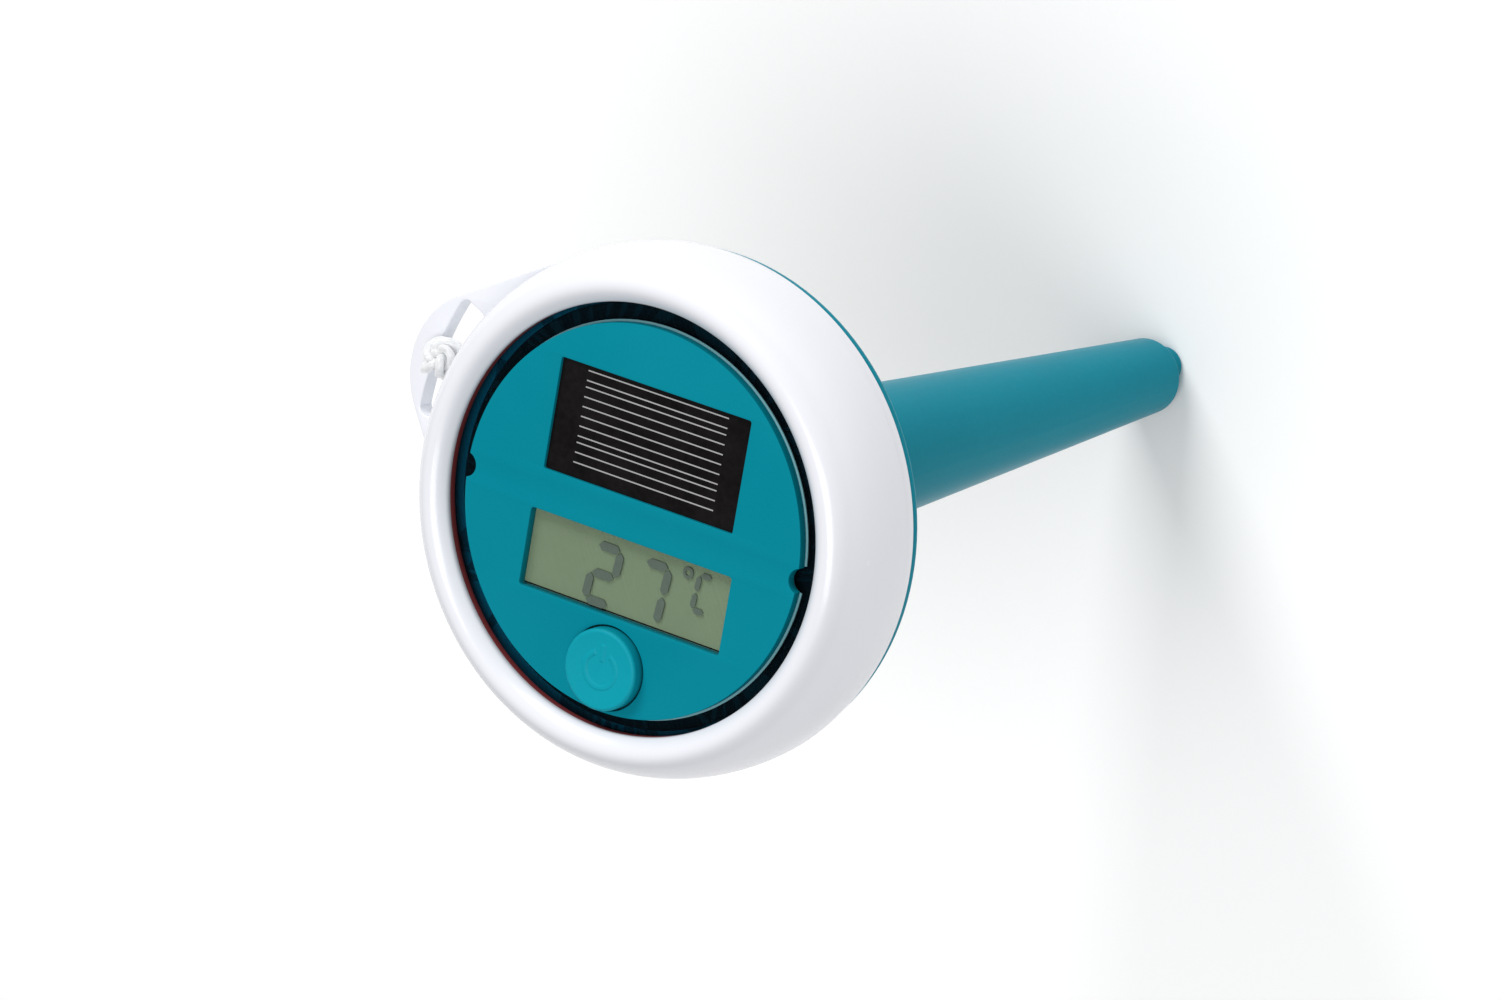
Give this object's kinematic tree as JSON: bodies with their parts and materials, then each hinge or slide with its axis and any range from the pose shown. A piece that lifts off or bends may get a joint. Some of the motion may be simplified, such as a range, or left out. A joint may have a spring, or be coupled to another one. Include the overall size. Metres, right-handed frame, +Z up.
{
  "type": "floating pool thermometer",
  "caption": "Floating solar pool thermometer with a round face, an LCD readout, a push button, a long tapered stem with its sensor in the tip, and a lug for its tether.",
  "frame": {"origin": "on the stem's axis, on the plane where the white ring meets the rear shell's flange, about where the water stands", "axes": "+Z up out of the face, away from the stem; +X to the right of the readout as it is read; +Y to its top"},
  "size_m": [0.1106, 0.0988, 0.1968],
  "materials": {
    "white_shell": "gloss",
    "teal_shell": "satin",
    "teal_plate": "satin",
    "teal_button": "satin",
    "clear_plastic": "gloss",
    "clear_glass": "gloss",
    "red_rubber": "satin",
    "teal_rubber": "matt",
    "black_rubber": "matt",
    "black_plastic": "matt",
    "adhesive_film": "matt",
    "solar_black": "gloss",
    "silver_print": "satin",
    "readout_ink": "matt",
    "readout_grey": "satin",
    "board_green": "satin",
    "chip_black": "matt",
    "part_body": "satin",
    "bright_steel": "satin",
    "lead_red": "satin",
    "nylon": "gloss",
    "white_nylon": "matt",
    "ballast_iron": "matt"
  },
  "bodies": {
    "housing": {"bezel_ring": "white_shell", "rear_shell": "teal_shell", "stem_tube": "teal_shell", "sensor_sleeve": "teal_shell", "clear_deck": "clear_plastic", "rim_seal": "red_rubber", "face_plate": "teal_plate", "plate_film": "adhesive_film", "inner_tray": "black_plastic", "solar_cell": "solar_black", "cell_fingers": "silver_print", "cell_leads": "lead_red", "lcd_glass": "clear_glass", "lcd_segments": "readout_ink", "lcd_back_glass": "clear_glass", "lcd_reflector": "readout_grey", "lcd_connectors": "black_rubber", "circuit_board": "board_green", "controller_chip": "chip_black", "board_parts": "part_body", "backup_cell": "bright_steel", "cell_clip": "bright_steel", "button_boot": "teal_rubber", "switch_body": "chip_black", "board_screws": "bright_steel", "shell_seal": "black_rubber", "stem_seal": "black_rubber", "stem_nut": "white_nylon", "thermistor": "chip_black", "sensor_leads": "lead_red", "ballast_weight": "ballast_iron", "ballast_clip": "bright_steel", "tether_knot": "nylon", "tether_cord": "nylon", "tether_winding": "nylon", "tether_end_knot": "nylon"},
    "button": {"button_cap": "teal_button", "switch_plunger": "white_nylon"}
  },
  "joints": [
    {"name": "button_press", "type": "slide", "parent": "housing", "child": "button", "axis": [0, 0, -1], "range_m": [0, 0.0009], "stiffness_N_per_m": 800, "deforming": ["button_boot"]}
  ]
}
